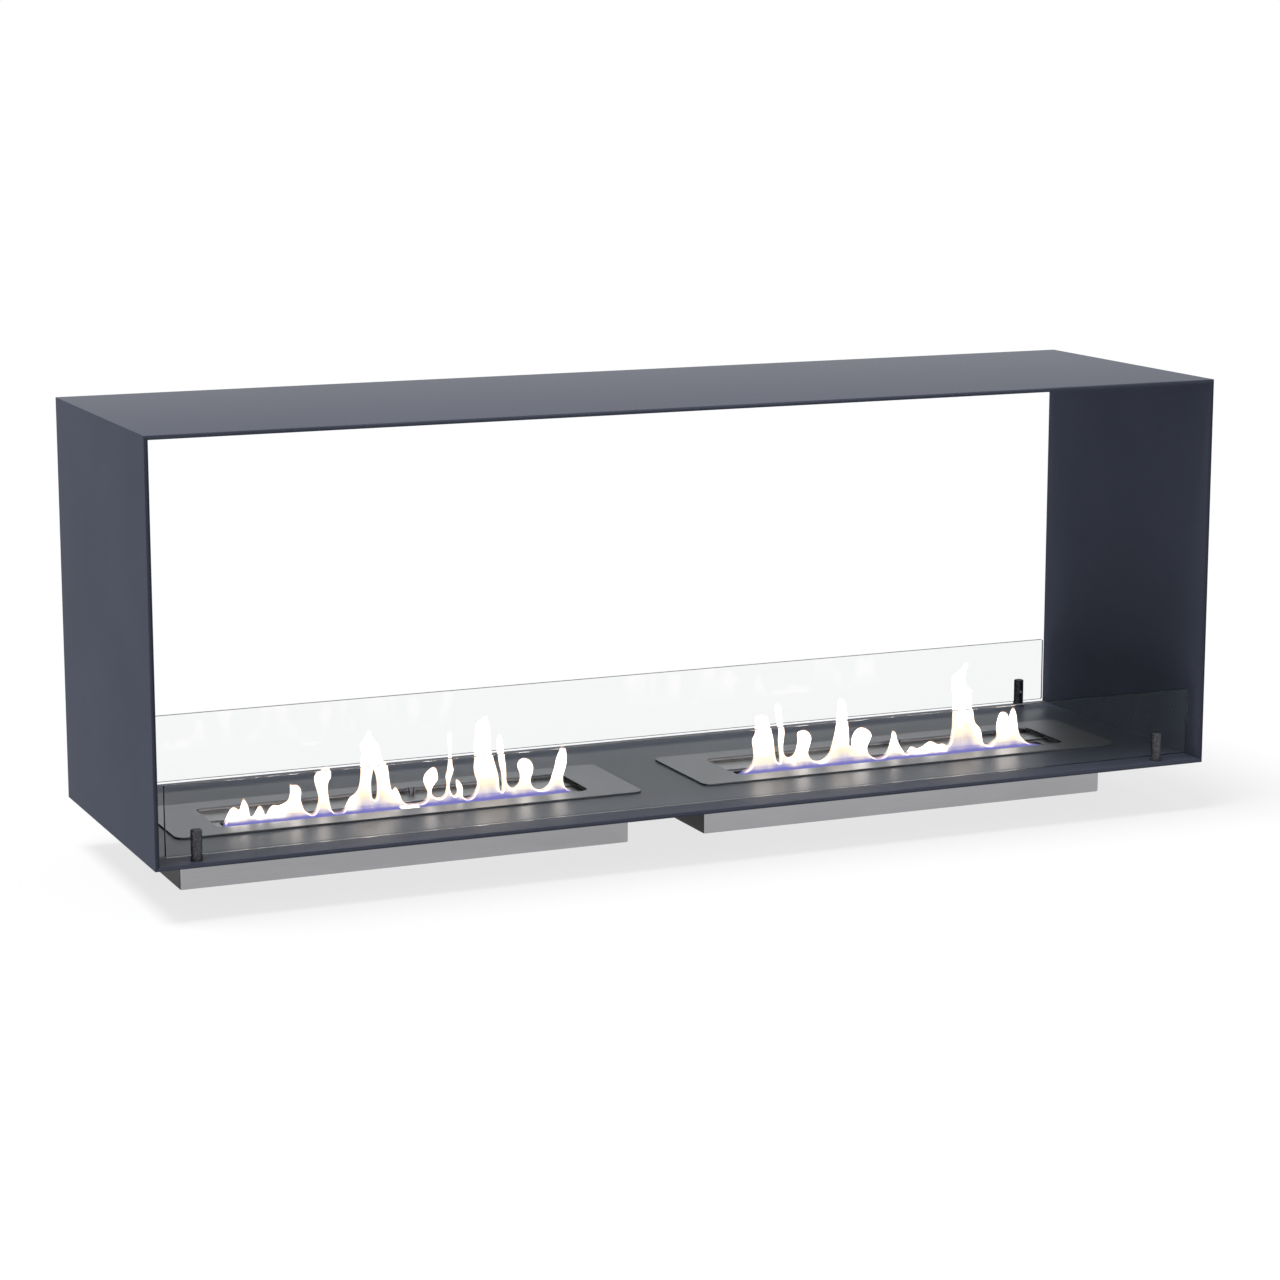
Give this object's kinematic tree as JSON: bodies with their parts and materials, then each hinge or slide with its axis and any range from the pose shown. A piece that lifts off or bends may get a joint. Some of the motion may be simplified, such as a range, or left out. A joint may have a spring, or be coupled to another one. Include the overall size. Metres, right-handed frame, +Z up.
{
  "type": "double-sided bio-ethanol fireplace",
  "caption": "See-through bio-ethanol fireplace: steel tunnel casing open front and back, drop-in burners with sliding dampers, and low lift-out glass panes in slotted posts.",
  "frame": {"origin": "under the middle of the fireplace, on the surface that the two burner housings stand on", "axes": "+Z up, +X along the width to the right as seen from the front, -Y towards the viewer in front"},
  "size_m": [1.4, 0.4, 0.564],
  "materials": {
    "casing_paint": "satin anthracite powder coat",
    "brushed_steel": "brushed stainless steel, grain along the length",
    "inner_steel": "mill-finish stainless steel",
    "screw_steel": "turned stainless steel",
    "black_post": "satin black",
    "toughened_glass": "clear toughened glass with ground edges",
    "ceramic_wool": "matt ceramic fibre"
  },
  "bodies": {
    "casing": {"casing_top": "casing_paint", "casing_floor": "casing_paint", "casing_left_side": "casing_paint", "casing_right_side": "casing_paint", "front_left_post": "black_post", "front_left_grub_screw": "screw_steel", "front_left_base_screw": "screw_steel", "front_right_post": "black_post", "front_right_grub_screw": "screw_steel", "front_right_base_screw": "screw_steel", "rear_left_post": "black_post", "rear_left_grub_screw": "screw_steel", "rear_left_base_screw": "screw_steel", "rear_right_post": "black_post", "rear_right_grub_screw": "screw_steel", "rear_right_base_screw": "screw_steel", "left_burner_housing": "brushed_steel", "left_burner_plate": "brushed_steel", "left_fuel_tank": "inner_steel", "left_ceramic_wool": "ceramic_wool", "left_slot_deck": "inner_steel", "left_guide_rail_1": "inner_steel", "left_guide_rail_2": "inner_steel", "left_rail_rivet_1": "screw_steel", "left_rail_rivet_2": "screw_steel", "left_rail_rivet_3": "screw_steel", "left_rail_rivet_4": "screw_steel", "right_burner_housing": "brushed_steel", "right_burner_plate": "brushed_steel", "right_fuel_tank": "inner_steel", "right_ceramic_wool": "ceramic_wool", "right_slot_deck": "inner_steel", "right_guide_rail_1": "inner_steel", "right_guide_rail_2": "inner_steel", "right_rail_rivet_1": "screw_steel", "right_rail_rivet_2": "screw_steel", "right_rail_rivet_3": "screw_steel", "right_rail_rivet_4": "screw_steel"},
    "front_pane": {"front_glass": "toughened_glass"},
    "rear_pane": {"rear_glass": "toughened_glass"},
    "left_damper": {"left_damper": "brushed_steel", "left_damper_tab": "brushed_steel"},
    "right_damper": {"right_damper": "brushed_steel", "right_damper_tab": "brushed_steel"}
  },
  "joints": [
    {"name": "front_glass_lift", "type": "slide", "parent": "casing", "child": "front_pane", "axis": [0, 0, 1], "range_m": [0, 0.032]},
    {"name": "rear_glass_lift", "type": "slide", "parent": "casing", "child": "rear_pane", "axis": [0, 0, 1], "range_m": [0, 0.032]},
    {"name": "left_damper_slide", "type": "slide", "parent": "casing", "child": "left_damper", "axis": [0, -1, 0], "range_m": [0, 0.05]},
    {"name": "right_damper_slide", "type": "slide", "parent": "casing", "child": "right_damper", "axis": [0, -1, 0], "range_m": [0, 0.05]}
  ]
}
